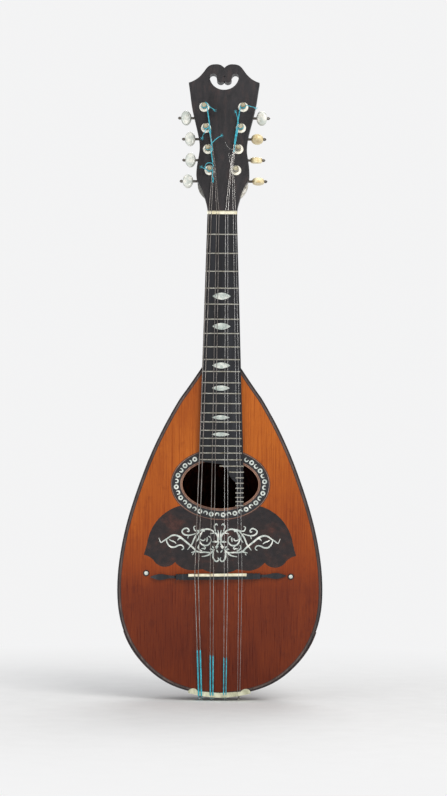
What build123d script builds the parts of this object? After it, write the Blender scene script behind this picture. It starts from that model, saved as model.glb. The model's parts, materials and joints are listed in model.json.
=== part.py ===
from build123d import *
import math
import os

# Bowl-back mandolin. Millimetres. +Z runs from the tail to the head, -Y is the
# strings' side, +X is the treble side.
# y = 0 is the outer face of the flat upper part of the soundboard.

# ---- body ----------------------------------------------------------------------
BODY_TOP = 306.0            # where the body meets the neck
FOLD_Z = 112.0              # the soundboard is bent here and leans back below it
CANT = math.radians(7.0)
TOP_THICK = 2.6
BINDING_WIDTH = 2.1
RIB_COUNT = 15
RIB_THICK = 2.2
GLUE_GAP = 0.35
# half outline of the soundboard: (x, z) from the tail to the neck
OUTLINE = [(0, 0), (27.8, 3.8), (46.4, 10.5), (64.9, 23.5), (83.1, 46.5), (92.6, 71.4),
           (95.3, 99.3), (92.6, 132), (85.8, 164.2), (73.9, 201.3), (58.7, 238.4),
           (38.8, 275.5), (17.8, 306)]
# depth of the bowl behind the soundboard: (depth, z) from the tail to the neck
DEPTH = [(0, 0), (29, 5), (66, 20), (99, 45), (123, 80), (136, 120), (133, 160),
         (117, 205), (87, 250), (53, 285), (27, 306)]
TAIL_FACE = 1.0             # the ribs are cut off square here, under the end cap
STATION_Z = [TAIL_FACE, 4, 9, 18, 32, 52, 78, 108, 140, 172, 204, 236, 264, 288, BODY_TOP]
CAP_WALL = 1.0
CAP_RISE = 14.0             # height of the end cap's edge at the middle of the back
CAP_RADIUS = 96.0
CAP_SIDE_TO = 60.0          # height of its tips at the sides
NECK_BLOCK_FROM = 266.0
TAIL_BLOCK_TO = 17.0
BRACES = [(243, 11), (158, 13)]          # height and depth of each bar
BRACE_WIDE = 7.0

# ---- soundhole, rosette, pickguard -------------------------------------------
HOLE_Z = 197.3
HOLE_RX, HOLE_RZ = 35.3, 22.5
ROSETTE_IN = 1.9            # the mastic ring starts this far outside the hole
ROSETTE_WIDTH = 7.9
INLAY_DEPTH = 1.1
GUARD_DEPTH = 0.9

# ---- neck, fingerboard, frets ------------------------------------------------
SCALE = 332.0
NUT_Z = 447.6               # face of the nut that looks at the frets
NUT_WIDE, NUT_THICK, NUT_TALL = 27.4, 3.2, 6.1
BOARD_THICK = 4.0
BOARD_HALF_NUT = 13.7
BOARD_HALF_BODY = 17.6
BOARD_END_Z = 218.7
TONGUE_X = (14.9, 21.1)
TONGUE_END_Z = 176.8
FULL_FRETS = 20
FRET_WIDE, FRET_TALL = 1.1, 1.0
TANG_WIDE, TANG_DEEP = 0.5, 1.6
SHORT_FRETS = {21: (-0.9, 21.7), 22: (8.2, 21.7)}
RUNG_X = (14.2, 21.7)
LAST_FRET = 29
MARKERS = {4: 6.5, 6: 6.2, 9: 5.6, 11: 4.9, 14: 4.0, 16: 3.7}   # after fret: height
MARKER_WIDE = 16.8
MARKER_DEEP = 0.7

# neck sections: height, half width, depth behind the fingerboard
NECK_SECTIONS = [(BODY_TOP, BOARD_HALF_BODY, 26.5), (330, 16.9, 20.5), (385, 15.4, 17.5), (440, 13.9, 15.5)]

# ---- head ---------------------------------------------------------------------
HEAD_TILT = math.radians(15)
HEAD_START = Vector(0, -1.5, NUT_Z + NUT_THICK)
VENEER = 2.0
CORE_BACK = -7.0
THROAT_V, THROAT_HALF, THROAT_SINK = 15.0, 14.0, 0.3     # where the neck dies into the head
VENEER_GAP = 0.3            # the core is cut back this far up from the nut
POST_U = [18.2, 16.3, 14.1, 12.3]        # half spacing of the posts, top to bottom
POST_V = [102.0, 81.2, 60.4, 39.6]

# ---- tuners -------------------------------------------------------------------
POST_R, POST_WAIST_R, POST_TOP = 2.5, 2.05, 7.6
RUN_GAP = 0.05                           # radial running clearance
FERRULE_R, FERRULE_SLEEVE_R, FERRULE_TALL, SLEEVE_DEEP = 4.7, 3.3, 1.2, 5.0
PLATE_THICK = 1.2
GEAR_TEETH = 14
WORM_PITCH = 2.1
WORM_PITCH_R = 2.2
WORM_OUTER_R, WORM_CORE_R = 2.9, 1.42
WORM_TURNS = 3
GEAR_PITCH_R = GEAR_TEETH * WORM_PITCH / (2 * math.pi)
GEAR_OUTER_R, GEAR_ROOT_R = 5.3, 3.8
GEAR_WIDE = 3.2
WORM_DROP = GEAR_PITCH_R + WORM_PITCH_R  # the worm lies this far below its post
WORM_N = CORE_BACK - PLATE_THICK - WORM_OUTER_R - 0.25
SHAFT_R = 1.2
LUG_THICK, LUG_HALF, LUG_SINK = 1.8, 2.6, 0.3
LUG_OFFSET = 5.2                         # lugs sit this far each side of the worm
BUTTON_U = [35.4, 31.4, 30.7, 32.8]      # middle of each button, top to bottom
BUTTON_TALL, BUTTON_THICK = 13.8, 5.4
BASS_BUTTON_LONG = [9.8, 9.8, 9.8, 9.8]
TREBLE_BUTTON_LONG = [10.0, 11.3, 11.3, 11.3]
BASS_BUTTON_TURN = [8, -6, 5, -12]
TREBLE_BUTTON_TURN = [16, 80, 105, 96]
KNOB_R, KNOB_GAP = 1.4, 0.1               # end knob: radius, and its gap to the button
SCREW_V = [110.5, 89.0, 68.2, 47.4, 21.5]
SCREW_R, SCREW_LONG = 0.88, 4.4

# ---- bridge, saddle, tail ------------------------------------------------------
BRIDGE_X, BRIDGE_Z = -1.5, 111.9
BRIDGE_TILT = 1.0                        # degrees, bass end towards the tail
BRIDGE_TALL = 6.9
LEAF_END = 63.0                          # half length of the bridge
COMPENSATION = 1.9                       # the saddle stands this much further than the scale
SADDLE_Z = NUT_Z - SCALE - COMPENSATION
SADDLE_X = -1.9
SADDLE_THICK = 2.6
SADDLE_LONG = 53.8
SADDLE_TOP, SADDLE_FOOT = 8.2, 5.0        # height of its crown and of its foot above the top
STUDS = [(-68.3, 114.4), (65.8, 112.2)]
STUD_R = 2.8
GUARD_HALF = 29.0
GUARD_WALL = 0.8
TAIL_CLEAR = 1.9                         # the strings pass this far below the tail edge
PIN_Y, PIN_R = 33.0, 0.8
PIN_ROOT, PIN_END = 8.0, -5.2            # heights of its two ends
PIN_HEAD_R, PIN_HEAD_TALL = 2.2, 0.9

# ---- strings --------------------------------------------------------------------
COURSES = {                              # middle x at nut, saddle and tail; diameter
    "g": (-11.1, -21.3, -17.9, 0.85),
    "d": (-4.0, -7.1, -7.2, 0.6),
    "a": (4.2, 6.0, 5.0, 0.4),
    "e": (11.3, 19.3, 18.0, 0.3),
}
PAIR_AT_NUT, PAIR_AT_SADDLE = 2.2, 3.2
NUT_STRING_Y, SADDLE_STRING_Y = -5.6, -8.5
WIND_LOW, WIND_STEP = 3.0, 0.75          # height of the winding on the lowest post
STRING_GAP = 0.12
WOUND = 0.7                              # room left for the winding on a post that is passed
PASS_STEP = 0.9                          # strings to higher posts pass this much further in
SEAT_GAP = 0.03                          # slots are this much larger than the strings

HEAD = Plane(origin=HEAD_START, x_dir=(1, 0, 0), z_dir=(0, -math.cos(HEAD_TILT), math.sin(HEAD_TILT)))


# ---- small helpers ---------------------------------------------------------------
def save(name, *solids):
    """Writes one node from its separate solids."""
    export_step(solids[0] if len(solids) == 1 else Compound(children=list(solids)), f"parts/{name}.step")


def pieces(shape):
    return list(shape.solids())


def on_head(u, v, n):
    """A point given across, up and out from the head's face."""
    return HEAD.from_local_coords(Vector(u, v, n))


def front_y(z):
    """The soundboard's outer face at a height."""
    return max(0.0, (FOLD_Z - z) * math.tan(CANT))


def back_y(z):
    return front_y(z) + TOP_THICK


def value_at(curve, z):
    """Finds x on a curve of (x, z) points that rises steadily in z."""
    low, high = 0.0, 1.0
    for _ in range(40):
        mid = (low + high) / 2
        if (curve @ mid).Y < z:
            low = mid
        else:
            high = mid
    return (curve @ low).X


SIDE_CURVE = Spline(*OUTLINE, tangents=[(1, 0), (-0.55, 0.83)])
DEPTH_CURVE = Spline(*DEPTH, tangents=[(1, 0), (-0.74, 0.67)])


def half_width(z):
    return value_at(SIDE_CURVE, z)


def depth(z):
    return value_at(DEPTH_CURVE, z)


def through(sketch, y_from, y_to):
    """Extrudes a sketch drawn as (x, z) from one depth to another."""
    face = Plane(origin=(0, y_to, 0), x_dir=(1, 0, 0), z_dir=(0, -1, 0)) * sketch
    return extrude(face, y_to - y_from)


def slab(out_by, in_by):
    """The bent layer that follows the soundboard, from out_by in front of its face
    to in_by behind it, wider than the body."""
    low, high = -12.0, 330.0
    lean = math.tan(CANT)
    shift = math.tan(CANT / 2)
    front = [(-out_by, high), (-out_by, FOLD_Z + out_by * shift), ((FOLD_Z - low) * lean - out_by, low)]
    back = [((FOLD_Z - low) * lean + in_by, low), (in_by, FOLD_Z - in_by * shift), (in_by, high)]
    face = make_face(Polyline(*[(0, y, z) for y, z in front + back], close=True))
    return extrude(face, 130, dir=(1, 0, 0), both=True)


def cylinder_along(start, end, radius):
    path = Line(start, end)
    return extrude(Plane(start, z_dir=path % 0) * Circle(radius), path.length)


# ---- body -----------------------------------------------------------------------
def body_sketch(grow=0.0):
    """The soundboard's outline, moved outwards by grow."""
    moved = []
    for x, z in OUTLINE:
        along = SIDE_CURVE % SIDE_CURVE.param_at_point((x, z))
        moved.append((x + grow * along.Y, z - grow * along.X))
    side = Spline(*moved, tangents=[(1, 0), SIDE_CURVE % 1])
    top = Line(side @ 1, (0, (side @ 1).Y))
    half = side.edges() + top.edges()
    return make_face(half + [edge.mirror(Plane.YZ) for edge in half])


def inlet_sketch(top):
    """The soundboard inside its binding, carried up square to the neck."""
    inner = body_sketch(-BINDING_WIDTH)
    throat = Pos(0, top - 8) * Rectangle(2 * BOARD_HALF_BODY - 2.4, 16)
    return inner + throat


def ellipse_sketch(grow=0.0):
    return Pos(0, HOLE_Z) * Ellipse(HOLE_RX + grow, HOLE_RZ + grow)


def rosette_ring():
    return ellipse_sketch(ROSETTE_IN + ROSETTE_WIDTH) - ellipse_sketch(ROSETTE_IN)


def pickguard_sketch():
    """Butterfly outline: a shoulder arc on each side and five scallops below."""
    edge = [
        Line((0, 181), (38, 177)),
        ThreePointArc((38, 177), (57, 165), (67.6, 142.5)),
        Line((67.6, 142.5), (70.6, 131.4)),
        ThreePointArc((70.6, 131.4), (65.6, 129.6), (61.5, 126.3)),
        ThreePointArc((61.5, 126.3), (51, 120.3), (41.6, 124.8)),
        ThreePointArc((41.6, 124.8), (34, 119), (24, 117.4)),
        Line((24, 117.4), (15.8, 118.4)),
        ThreePointArc((15.8, 118.4), (9, 115.6), (0, 114.2)),
    ]
    other = [part.mirror(Plane.YZ) for part in edge]
    butterfly = make_face([e for part in edge + other for e in part.edges()])
    return butterfly - ellipse_sketch(ROSETTE_IN + ROSETTE_WIDTH)


def soundboard(strip):
    board = through(inlet_sketch(BODY_TOP), -1, 40) & slab(0, TOP_THICK)
    board -= through(ellipse_sketch(), -5, 10)
    board -= through(rosette_ring(), -5, INLAY_DEPTH)
    board -= through(pickguard_sketch(), -5, GUARD_DEPTH)
    return board, strip & slab(0, TOP_THICK)


def binding_strip():
    outer = through(body_sketch(), -1, 40)
    return outer - through(inlet_sketch(BODY_TOP + 1), -2, 41)


def bowl_point(z, angle, grow):
    """A point on the bowl: angle 0 is the treble edge, 90 the middle of the back."""
    width = half_width(z) + grow
    deep = depth(z) + grow
    return Vector(width * math.cos(angle), back_y(z) + deep * math.sin(angle), z)


def bowl_solid(grow, heights):
    """The bowl as one filled solid, with a flat facet for each rib."""
    sections = []
    for z in heights:
        corners = [bowl_point(z, math.pi * k / RIB_COUNT, grow) for k in range(RIB_COUNT + 1)]
        sections.append(make_face(Polyline(*corners, close=True)))
    return loft(sections)


def rib(index):
    """One bent stave between two facet lines of the bowl."""
    sections = []
    low, high = (math.pi * k / RIB_COUNT for k in (index, index + 1))
    for z in STATION_Z:
        outside = [bowl_point(z, low, 0), bowl_point(z, high, 0)]
        inside = [bowl_point(z, high, -RIB_THICK), bowl_point(z, low, -RIB_THICK)]
        sections.append(make_face(Polyline(*outside, *inside, close=True)))
    return loft(sections)


def end_cap():
    """Thin shell over the tail ends of the ribs, cut to a crescent at the back."""
    steps = [math.pi * k / RIB_COUNT for k in range(RIB_COUNT + 1)]
    sections = []
    for z in [z for z in STATION_Z if z < 80]:
        outside = [bowl_point(z, angle, CAP_WALL) for angle in steps]
        inside = [bowl_point(z, angle, GLUE_GAP) for angle in reversed(steps)]
        sections.append(make_face(Polyline(*outside, *inside, close=True)))
    foot = make_face(Polyline(*[bowl_point(TAIL_FACE, angle, CAP_WALL) for angle in steps], close=True))
    shell = loft(sections) + extrude(foot, CAP_WALL, dir=(0, 0, -1))
    arch = Pos(0, CAP_RISE + CAP_RADIUS) * Circle(CAP_RADIUS)
    shell -= through(arch, -20, 200)
    shell -= Pos(0, 0, CAP_SIDE_TO + 100) * Box(400, 400, 200)
    return shell - slab(60, TOP_THICK)


def braces(room):
    """Two bars across the back of the soundboard, with bevelled edges."""
    bars = []
    for z, deep in BRACES:
        bar = Pos(0, TOP_THICK + deep / 2, z) * Box(200, deep, BRACE_WIDE)
        bar = chamfer(bar.edges().filter_by(Axis.X).sort_by(Axis.Y)[-2:], 2)
        bars += pieces(bar & room)
    return bars


# ---- neck and head -----------------------------------------------------------------
def half_round(plane, half_wide, deep):
    """A D-shaped section: flat towards the strings, round at the back."""
    flat = Line((-half_wide, 0), (half_wide, 0))
    back = EllipticalCenterArc((0, 0), half_wide, deep, 180, arc_size=180)
    return plane * make_face(flat.edges() + back.edges())


def level(z, y=0.0):
    """A plane across the neck; its local Y points to the strings."""
    return Plane(origin=(0, y, z), x_dir=(1, 0, 0), z_dir=(0, 0, 1)).rotated((0, 0, 180))


def head_sketch():
    """Half outline of the head, mirrored: taper, bulge, waist, shoulder, scroll."""
    side = [
        Spline((13.7, 0), (15.8, 11.3), (20.9, 24.5), (24.7, 36.0), tangents=[(0.05, 1), (0, 1)]),
        Spline((24.7, 36.0), (22.0, 60.5), (25.8, 85.2), (30.2, 105.0), (33.2, 126.4),
               tangents=[(0, 1), (0.16, 1)]),
        Spline((33.2, 126.4), (24.4, 131.3), (18.8, 137.9), (8.6, 144.8),
               tangents=[(-1, 0.33), (-1, 0)]),
        ThreePointArc((8.6, 144.8), (3.4, 144.0), (0, 141.2)),
    ]
    bottom = Line((0, 0), (13.7, 0))
    half = bottom.edges() + [e for part in side for e in part.edges()]
    return make_face(half + [e.mirror(Plane.YZ) for e in half])


def crescent_sketch():
    """Opening near the top: a crescent with two round drops hanging into it."""
    bowl = Pos(0, 133.0) * Ellipse(13.7, 13.6)
    upper = Pos(0, 142.6) * Rectangle(40, 19.2)
    lobes = Pos(3.3, 130.1) * Circle(3.6) + Pos(-3.3, 130.1) * Circle(3.6)
    horns = Pos(10.4, 132.2) * Circle(3.25) + Pos(-10.4, 132.2) * Circle(3.25)
    return bowl - upper - lobes + horns


def post_holes(radius, n_from, n_to):
    holes = [Pos(side * u, v) * Circle(radius) for u, v in zip(POST_U, POST_V) for side in (-1, 1)]
    return extrude(Plane(on_head(0, 0, n_to), x_dir=(1, 0, 0), z_dir=HEAD.z_dir) * Sketch(children=holes),
                   -(n_to - n_from))


def head_layer(n_from, n_to, v_from=0.0):
    plane = Plane(on_head(0, 0, n_from), x_dir=(1, 0, 0), z_dir=HEAD.z_dir)
    shape = head_sketch() - crescent_sketch()
    if v_from:
        shape -= Pos(0, v_from / 2) * Rectangle(60, v_from)
    return extrude(plane * shape, n_to - n_from)


def neck():
    sections = [half_round(level(z), wide, deep) for z, wide, deep in NECK_SECTIONS]
    throat = on_head(0, THROAT_V, -VENEER - THROAT_SINK)
    upright = Plane(throat, x_dir=(-1, 0, 0), z_dir=HEAD.y_dir)
    sections.append(half_round(upright, THROAT_HALF, -CORE_BACK - VENEER - 2 * THROAT_SINK))
    shaft = loft(sections)
    shaft -= Pos(0, -10, 450) * Box(60, 20, 400)
    body = shaft + head_layer(CORE_BACK, -VENEER)
    seat = Pos(0, 80) * Rectangle(100, 160)
    body -= extrude(HEAD * seat, 20, dir=HEAD.z_dir)
    front = Plane(on_head(0, VENEER_GAP, -VENEER), x_dir=(1, 0, 0), z_dir=HEAD.z_dir)
    body -= extrude(front * seat, 20)
    body -= post_holes(FERRULE_SLEEVE_R, CORE_BACK - 6, 2)
    deep = CORE_BACK - PLATE_THICK + SCREW_LONG + 0.2
    for u, v in screw_places():
        body -= cylinder_along(on_head(u, v, CORE_BACK - 3), on_head(u, v, deep), SCREW_R + 0.02)
    return body


def veneer():
    return head_layer(-VENEER, 0, v_from=0.7) - post_holes(FERRULE_SLEEVE_R, -4, 2)


def board_half(z):
    """Half width of the fingerboard, which widens steadily towards the soundhole."""
    slope = (BOARD_HALF_BODY - BOARD_HALF_NUT) / (NUT_Z - BODY_TOP)
    return BOARD_HALF_NUT + slope * (NUT_Z - z)


def fret_z(number):
    return NUT_Z - SCALE * (1 - 2 ** (-number / 12))


def fret_spans():
    """Each fret's height and its two ends in x."""
    spans = [(fret_z(n), -board_half(fret_z(n)), board_half(fret_z(n))) for n in range(1, FULL_FRETS + 1)]
    spans += [(fret_z(n), *ends) for n, ends in SHORT_FRETS.items()]
    spans += [(fret_z(n), *RUNG_X) for n in range(23, LAST_FRET + 1)]
    return spans


def fret(z, left, right):
    crown = Line((z - FRET_WIDE / 2, 0), (z + FRET_WIDE / 2, 0)) + ThreePointArc(
        (z + FRET_WIDE / 2, 0), (z, FRET_TALL), (z - FRET_WIDE / 2, 0))
    plane = Plane(origin=(left, -BOARD_THICK, 0), x_dir=(0, 0, 1), z_dir=(1, 0, 0))
    bar = extrude(plane * make_face(crown.edges()), right - left)
    tang = Pos((left + right) / 2, -BOARD_THICK + TANG_DEEP / 2, z) * Box(right - left, TANG_DEEP, TANG_WIDE)
    return bar + tang


def marker_sketch(after, tall):
    middle = (fret_z(after) + fret_z(after + 1)) / 2
    half = MARKER_WIDE / 2
    upper = ThreePointArc((-half, middle), (0, middle + tall / 2), (half, middle))
    lower = ThreePointArc((half, middle), (0, middle - tall / 2), (-half, middle))
    return make_face(upper.edges() + lower.edges())


def fingerboard():
    left = board_half(BOARD_END_Z)
    edge = [
        Line((-BOARD_HALF_NUT, NUT_Z), (BOARD_HALF_NUT, NUT_Z)),
        Line((BOARD_HALF_NUT, NUT_Z), (TONGUE_X[1], BOARD_END_Z)),
        Line((TONGUE_X[1], BOARD_END_Z), (TONGUE_X[1], TONGUE_END_Z)),
        Line((TONGUE_X[1], TONGUE_END_Z), (TONGUE_X[0], TONGUE_END_Z)),
        Line((TONGUE_X[0], TONGUE_END_Z), (TONGUE_X[0], 199)),
        ThreePointArc((TONGUE_X[0], 199), (8.4, 205.6), (6.2, 211.4)),
        ThreePointArc((6.2, 211.4), (3.0, 215.0), (-2.0, 216.4)),
        Line((-2.0, 216.4), (-left, BOARD_END_Z)),
        Line((-left, BOARD_END_Z), (-BOARD_HALF_NUT, NUT_Z)),
    ]
    face = make_face([e for part in edge for e in part.edges()])
    board = through(face, -BOARD_THICK, 0)
    for z, low, high in fret_spans():
        board -= Pos(0, -BOARD_THICK + TANG_DEEP / 2, z) * Box(60, TANG_DEEP, TANG_WIDE)
    for after, tall in MARKERS.items():
        board -= through(marker_sketch(after, tall), -BOARD_THICK - 1, -BOARD_THICK + MARKER_DEEP)
    return board


def nut_piece():
    profile = Polyline((0, 0), (0, -NUT_TALL + 0.5), (NUT_THICK - 1.2, -NUT_TALL), (NUT_THICK, -NUT_TALL + 1.6),
                       (NUT_THICK, 0), close=True)
    plane = Plane(origin=(NUT_WIDE / 2, 0, NUT_Z), x_dir=(0, 0, 1), z_dir=(-1, 0, 0))
    return extrude(plane * make_face(profile), NUT_WIDE)


# ---- tuners ---------------------------------------------------------------------
def tuner_list():
    """Name, side, row (0 at the top) of each tuner. Upper posts take the inner strings."""
    names = {-1: ["d2", "d1", "g2", "g1"], 1: ["a1", "a2", "e1", "e2"]}
    return [(names[side][row], side, row) for side in (-1, 1) for row in range(4)]


def screw_places():
    """Screws lie on the middle line of each plate."""
    slope = (POST_U[0] - POST_U[3]) / (POST_V[0] - POST_V[3])
    line = [(POST_U[3] + slope * (v - POST_V[3]) + 0.6, v) for v in SCREW_V]
    return [(side * u, v) for side in (-1, 1) for u, v in line]


def worm_blank():
    """Right-hand thread on its core, along Z, with a thread crest at z = 0 on the -X side."""
    tall = WORM_TURNS * WORM_PITCH
    helix = Pos(0, 0, -tall / 2) * Helix(WORM_PITCH, tall, WORM_CORE_R)
    start = helix @ 0
    root_half, tip_half, sink = 0.5, 0.26, 0.15
    profile = Polyline((-sink, -root_half), (WORM_OUTER_R - WORM_CORE_R, -tip_half),
                       (WORM_OUTER_R - WORM_CORE_R, tip_half), (-sink, root_half), close=True)
    plane = Plane(origin=start, x_dir=(1, 0, 0), z_dir=(0, -1, 0))
    thread = sweep(plane * make_face(profile), path=helix, is_frenet=True)
    core = Cylinder(WORM_CORE_R, 2 * (LUG_OFFSET - LUG_THICK / 2) - 0.3)
    return thread + core


def gear_blank():
    """Worm wheel along Z with slanted slots; one slot faces -Y. It carries a hub."""
    lead = math.atan(WORM_PITCH / (2 * math.pi * WORM_PITCH_R))
    wheel = Cylinder(GEAR_OUTER_R, GEAR_WIDE)
    slot = Polyline((-0.52, -GEAR_ROOT_R), (0.52, -GEAR_ROOT_R), (0.86, -GEAR_OUTER_R - 0.6),
                    (-0.86, -GEAR_OUTER_R - 0.6), close=True)
    reach = 3.0
    along = Vector(math.sin(lead), 0, math.cos(lead))
    base = Plane(origin=along * -reach, x_dir=(1, 0, 0), z_dir=(0, 0, 1))
    tool = extrude(base * make_face(slot), 2 * reach, dir=along)
    for tooth in range(GEAR_TEETH):
        wheel -= Rot(0, 0, 360 * tooth / GEAR_TEETH) * tool
    wheel += Pos(0, 0, -GEAR_WIDE / 2 - 0.4) * Cylinder(2.9, 0.8)
    return wheel - Cylinder(1.52, 20)


def gear_screw():
    """Cheese-head screw that clamps the wheel to the post, with its slot."""
    head = Pos(0, 0, -GEAR_WIDE / 2 - 0.8 - 0.65) * Cylinder(2.4, 1.3)
    slot = Pos(0, 0, -GEAR_WIDE / 2 - 0.8 - 1.3) * Box(6, 0.6, 1.2)
    return head - slot


def post_piece(u, v):
    """String post: stub in the wheel, shaft through the head, waisted capstan on top."""
    low = WORM_N - GEAR_WIDE / 2 - 0.8
    shoulder = WORM_N + GEAR_WIDE / 2 + 0.05
    waist = (FERRULE_TALL + 0.9, FERRULE_TALL + 1.6, 5.9, 6.4)
    profile = [(0, low), (1.5, low), (1.5, shoulder), (POST_R, shoulder), (POST_R, waist[0]),
               (POST_WAIST_R, waist[1]), (POST_WAIST_R, waist[2]), (POST_R - 0.1, waist[3]),
               (POST_R - 0.1, POST_TOP - 0.6), (POST_R - 0.8, POST_TOP), (0, POST_TOP)]
    face = Plane.XZ * make_face(Polyline(*profile, close=True))
    solid = revolve(face, Axis.Z)
    solid -= Pos(0, 0, 5.4) * Rot(90, 0, 0) * Cylinder(0.55, 8)
    frame = Plane(on_head(u, v, 0), x_dir=(1, 0, 0), z_dir=HEAD.z_dir)
    return frame * solid


def gear_pieces(u, v, wheel, screw):
    frame = Plane(on_head(u, v, WORM_N), x_dir=(1, 0, 0), z_dir=HEAD.z_dir)
    return frame * wheel, frame * screw


def worm_piece(side, row, thread):
    """Worm with its shaft, which runs out through the button to a small end knob."""
    u, v = side * POST_U[row], POST_V[row] - WORM_DROP
    turned = Plane(on_head(u, v, WORM_N), x_dir=-HEAD.y_dir, z_dir=(1, 0, 0))
    body = turned * thread
    start = abs(u) - LUG_OFFSET - LUG_THICK / 2 - 0.8
    long = (BASS_BUTTON_LONG if side < 0 else TREBLE_BUTTON_LONG)[row]
    reach = BUTTON_U[row] + long / 2 + KNOB_GAP - start
    profile = [
        Polyline((0, 0), (0, SHAFT_R), (reach, SHAFT_R)),
        ThreePointArc((reach, SHAFT_R), (reach + KNOB_R, KNOB_R), (reach + 2 * KNOB_R, 0.2)),
        Polyline((reach + 2 * KNOB_R, 0.2), (reach + 2 * KNOB_R, 0), (0, 0)),
    ]
    rod = revolve(make_face([e for part in profile for e in part.edges()]), Axis.X)
    out = Plane(on_head(side * start, v, WORM_N), x_dir=(side, 0, 0), z_dir=HEAD.z_dir)
    return body + out * rod


def button_piece(side, row):
    """Oval button, flat on two sides and rounded all round, bored for its shaft."""
    long = (BASS_BUTTON_LONG if side < 0 else TREBLE_BUTTON_LONG)[row]
    turn = (BASS_BUTTON_TURN if side < 0 else TREBLE_BUTTON_TURN)[row]
    oval = extrude(Ellipse(long / 2, BUTTON_TALL / 2), BUTTON_THICK / 2, both=True)
    oval = fillet(oval.edges(), BUTTON_THICK * 0.36)
    oval = Rot(turn, 0, 0) * oval
    oval -= Rot(0, 90, 0) * Cylinder(SHAFT_R + 0.02, 40)
    place = on_head(side * BUTTON_U[row], POST_V[row] - WORM_DROP, WORM_N)
    return Plane(place, x_dir=(1, 0, 0), z_dir=HEAD.z_dir) * oval


def plate_sketch():
    """Treble-side plate: long taper with a shaped lower end."""
    edge = [
        Line((10.5, 116), (25.5, 116)),
        ThreePointArc((25.5, 116), (23.2, 88), (20.6, 60)),
        ThreePointArc((20.6, 60), (20.9, 46), (23.4, 32)),
        ThreePointArc((23.4, 32), (22.2, 22), (16.6, 14.5)),
        ThreePointArc((16.6, 14.5), (9, 17), (4.6, 25)),
        Line((4.6, 25), (10.5, 116)),
    ]
    return make_face([e for part in edge for e in part.edges()])


def tuner_plate(side):
    """Plate on the back of the head, with two bearing lugs for each worm shaft."""
    back = Plane(on_head(0, 0, CORE_BACK), x_dir=(1, 0, 0), z_dir=HEAD.z_dir)
    sketch = plate_sketch() if side > 0 else plate_sketch().mirror(Plane.YZ)
    plate = extrude(back * sketch, PLATE_THICK, dir=-HEAD.z_dir)
    for row in range(4):
        u, v = side * POST_U[row], POST_V[row]
        plate -= cylinder_along(on_head(u, v, CORE_BACK - 3), on_head(u, v, CORE_BACK + 1), POST_R + RUN_GAP)
        for step in (-1, 1):
            plate += lug(u + step * LUG_OFFSET, v - WORM_DROP)
    for u, v in screw_places():
        if u * side > 0:
            plate -= cylinder_along(on_head(u, v, CORE_BACK - 3), on_head(u, v, CORE_BACK + 1), 1.0)
    return plate


def lug(u, v):
    """Bearing ear: round end, standing off the plate, bored for the shaft."""
    plane = Plane(on_head(u - LUG_THICK / 2, v, WORM_N), x_dir=HEAD.y_dir, z_dir=(1, 0, 0))
    rise = CORE_BACK - PLATE_THICK - WORM_N + LUG_SINK
    foot = Pos(0, rise / 2) * Rectangle(2 * LUG_HALF, rise)
    face = Circle(LUG_HALF) + foot - Circle(SHAFT_R + RUN_GAP)
    return extrude(plane * face, LUG_THICK)


def plate_screw(u, v):
    frame = Plane(on_head(u, v, CORE_BACK - PLATE_THICK), x_dir=(1, 0, 0), z_dir=-HEAD.z_dir)
    head = Cylinder(1.9, 0.9, align=(Align.CENTER, Align.CENTER, Align.MIN))
    head = fillet(head.edges().sort_by(Axis.Z)[-1], 0.6)
    head -= Pos(0, 0, 0.9) * Box(5, 0.5, 0.8)
    shank = Pos(0, 0, -SCREW_LONG / 2) * Cylinder(SCREW_R, SCREW_LONG)
    return frame * (head + shank)


def ferrule(u, v):
    """Bone ring with a sleeve let into the head."""
    bore = POST_R + RUN_GAP
    profile = Polyline((bore, -SLEEVE_DEEP), (FERRULE_SLEEVE_R, -SLEEVE_DEEP), (FERRULE_SLEEVE_R, 0),
                       (FERRULE_R, 0), (FERRULE_R, FERRULE_TALL - 0.5), (FERRULE_R - 0.7, FERRULE_TALL),
                       (bore, FERRULE_TALL), close=True)
    ring = revolve(Plane.XZ * make_face(profile), Axis.Z)
    return Plane(on_head(u, v, 0), x_dir=(1, 0, 0), z_dir=HEAD.z_dir) * ring


# ---- bridge, saddle and tail ------------------------------------------------------
def bridge_blank():
    """Floating bridge: plan outline crossed with its front elevation."""
    half_plan = [(0, 2.75), (33, 2.75), (33, 2.3), (34, 2.3), (34, 2.75), (36, 2.75), (36, 2.25), (37, 2.25),
                 (37, 2.6), (39, 2.6), (39, 1.35), (44, 1.25)]
    leaf = Spline((44, 1.25), (53.5, 2.75), (LEAF_END, 0.25), tangents=[(1, 0.1), (1, -0.4)])
    tip = Line((LEAF_END, 0.25), (LEAF_END, 0))
    quarter = Polyline(*half_plan).edges() + leaf.edges() + tip.edges()
    right = quarter + [e.mirror(Plane.XZ) for e in quarter]
    plan = make_face(right + [e.mirror(Plane.YZ) for e in right])
    block = extrude(Plane(origin=(0, 18, 0), x_dir=(1, 0, 0), z_dir=(0, -1, 0)) * plan, 40)
    tall = BRIDGE_TALL
    rise = Polyline((0, tall), (32, tall), (33.5, tall - 0.6), (39, tall - 1.2), (40.5, 3.6), (46, 2.6))
    wing = Spline((46, 2.6), (54, 3.4), (LEAF_END + 0.1, 1.2), tangents=[(1, 0), (1, -0.4)])
    floor = Polyline((LEAF_END + 0.1, 1.2), (LEAF_END + 0.1, -6), (0, -6))
    half = rise.edges() + wing.edges() + floor.edges()
    elevation = make_face(half + [e.mirror(Plane.YZ) for e in half])
    side = Plane(origin=(0, 0, -20), x_dir=(1, 0, 0), z_dir=(0, 0, 1)) * elevation.mirror(Plane.XZ)
    return block & extrude(side, 40, dir=(0, 0, 1))


def bridge():
    shape = Pos(BRIDGE_X, 0, BRIDGE_Z) * Rot(0, -BRIDGE_TILT, 0) * bridge_blank()
    return shape - slab(0, 60)


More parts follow.
